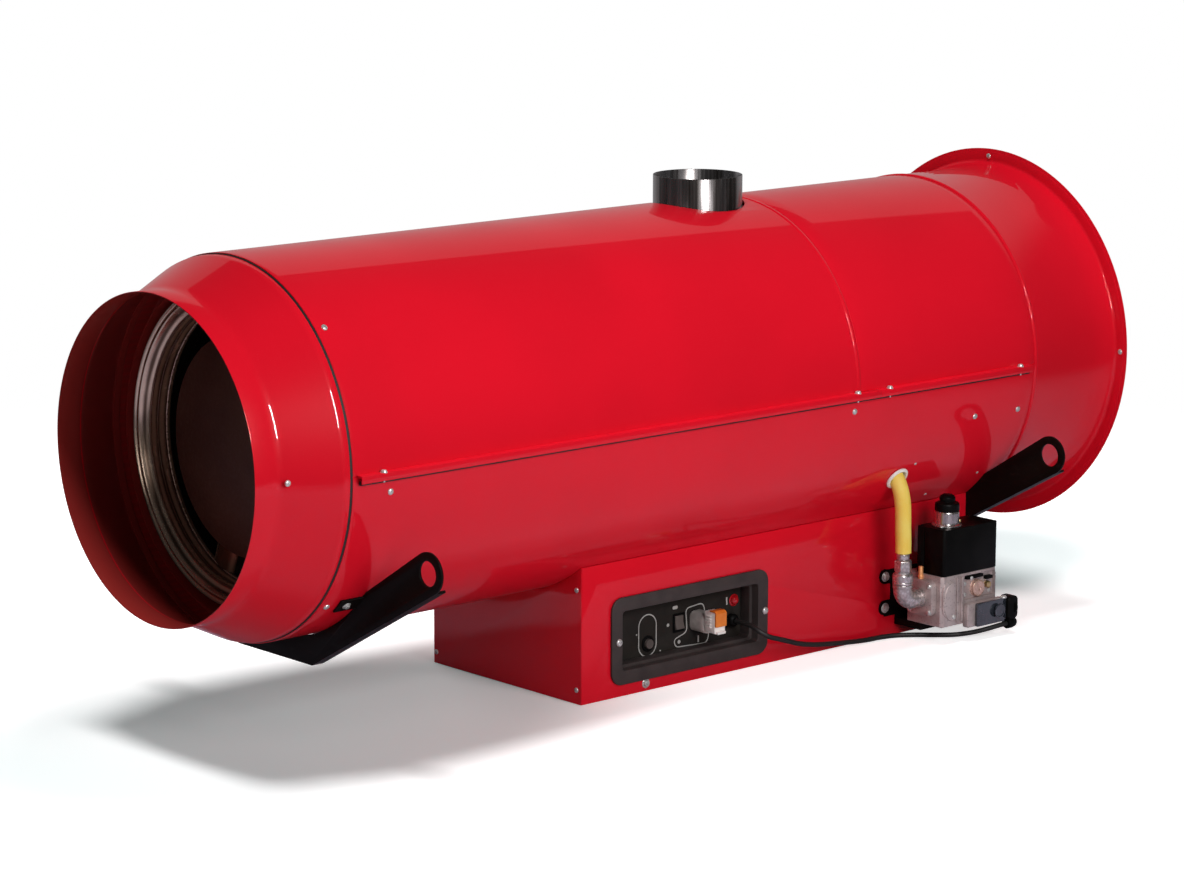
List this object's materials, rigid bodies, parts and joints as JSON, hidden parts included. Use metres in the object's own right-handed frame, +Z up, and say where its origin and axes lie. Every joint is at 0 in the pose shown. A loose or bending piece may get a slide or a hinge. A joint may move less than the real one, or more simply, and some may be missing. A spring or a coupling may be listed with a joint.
{
  "type": "indirect fired heater",
  "caption": "Round red air tunnel with a fan, combustion chamber and heat exchanger inside, a flue on top, hanging brackets, and a control box with a gas valve below.",
  "frame": {"origin": "centre of the control box's underside", "axes": "+X along the tunnel from the air outlet to the fan, +Z up; the control panel and the gas valve face -Y"},
  "size_m": [1.8444, 0.8154, 0.8066],
  "materials": {
    "red_paint": "gloss red paint on sheet steel",
    "black_paint": "satin black paint",
    "stainless": "bright rolled stainless steel",
    "scorched_steel": "dull heat-darkened steel",
    "zinc": "zinc-plated steel",
    "cast_aluminium": "matte die-cast aluminium",
    "dark_plastic": "matte dark grey moulding",
    "black_plastic": "satin black moulding",
    "white_plastic": "off-white moulding",
    "grey_plastic": "matte grey moulding",
    "orange_plastic": "orange moulding",
    "red_lens": "clear red lens",
    "smoked_lens": "smoked clear cover",
    "black_rubber": "matte black rubber",
    "yellow_rubber": "matte yellow rubber hose"
  },
  "bodies": {
    "heater": {"outlet_cone": "red_paint", "front_ring": "red_paint", "lower_shell": "red_paint", "front_upper_cover": "red_paint", "rear_upper_cover": "red_paint", "intake_shroud": "red_paint", "fan_guard": "red_paint", "flue_collar": "stainless", "heat_exchanger": "stainless", "combustion_chamber": "scorched_steel", "cross_duct": "stainless", "front_cradle": "zinc", "rear_cradle": "zinc", "chamber_spider": "zinc", "burner_plate": "zinc", "burner_body": "cast_aluminium", "burner_tube": "stainless", "gas_nozzle": "zinc", "ignition_electrodes": "white_plastic", "gas_pipe": "zinc", "blower_housing": "cast_aluminium", "blower_motor": "black_paint", "fan_motor": "black_paint", "motor_support": "black_paint", "front_bracket": "black_paint", "rear_bracket": "black_paint", "hose_grommet": "white_plastic", "box_pan": "red_paint", "box_front_panel": "red_paint", "box_rear_panel": "red_paint", "control_bezel": "dark_plastic", "control_plate": "black_plastic", "limit_thermostat": "black_plastic", "rocker_frame": "black_plastic", "thermostat_socket": "grey_plastic", "pilot_lamp": "red_lens", "cable_gland": "black_plastic", "control_cable": "black_rubber", "flame_controller": "dark_plastic", "ignition_transformer": "black_plastic", "gas_hose": "yellow_rubber", "valve_body": "cast_aluminium", "outlet_flange": "cast_aluminium", "inlet_flange": "cast_aluminium", "coil_cover": "black_plastic", "solenoid_coils": "black_plastic", "damper_cylinder": "cast_aluminium", "switch_base": "grey_plastic", "switch_cover": "smoked_lens", "switch_plug": "black_plastic", "gas_elbow": "zinc", "hose_union": "zinc", "valve_bracket": "black_paint"},
    "fan": {"fan_impeller": "cast_aluminium"},
    "blower": {"blower_wheel": "zinc"},
    "button": {"reset_button": "black_plastic"},
    "rocker": {"rocker_cap": "black_plastic"},
    "plug": {"thermostat_plug": "white_plastic"},
    "latch": {"plug_latch": "orange_plastic"},
    "cap": {"damper_cap": "black_rubber"}
  },
  "joints": [
    {"name": "fan_spin", "type": "hinge", "parent": "heater", "child": "fan", "pos_m": [0.557, 0, 0.463], "axis": [1, 0, 0], "continuous": true},
    {"name": "blower_spin", "type": "hinge", "parent": "heater", "child": "blower", "pos_m": [0.151, 0, 0.593], "axis": [1, 0, 0], "continuous": true},
    {"name": "reset_press", "type": "slide", "parent": "heater", "child": "button", "axis": [0, 1, 0], "range_m": [0, 0.003], "stiffness_N_per_m": 400, "springref_m": -0.003},
    {"name": "rocker_tilt", "type": "hinge", "parent": "heater", "child": "rocker", "pos_m": [-0.206, -0.151, 0.092], "axis": [1, 0, 0], "range_deg": [0, 18]},
    {"name": "plug_pull", "type": "slide", "parent": "heater", "child": "plug", "axis": [0, -1, 0], "range_m": [0, 0.04]},
    {"name": "latch_lift", "type": "hinge", "parent": "plug", "child": "latch", "pos_m": [-0.17, -0.2016, 0.1148], "axis": [-1, 0, 0], "range_deg": [0, 12], "stiffness_Nm_per_rad": 0.05, "springref_deg": -11.46},
    {"name": "cap_lift", "type": "slide", "parent": "heater", "child": "cap", "axis": [0, 0, 1], "range_m": [0, 0.025]}
  ]
}
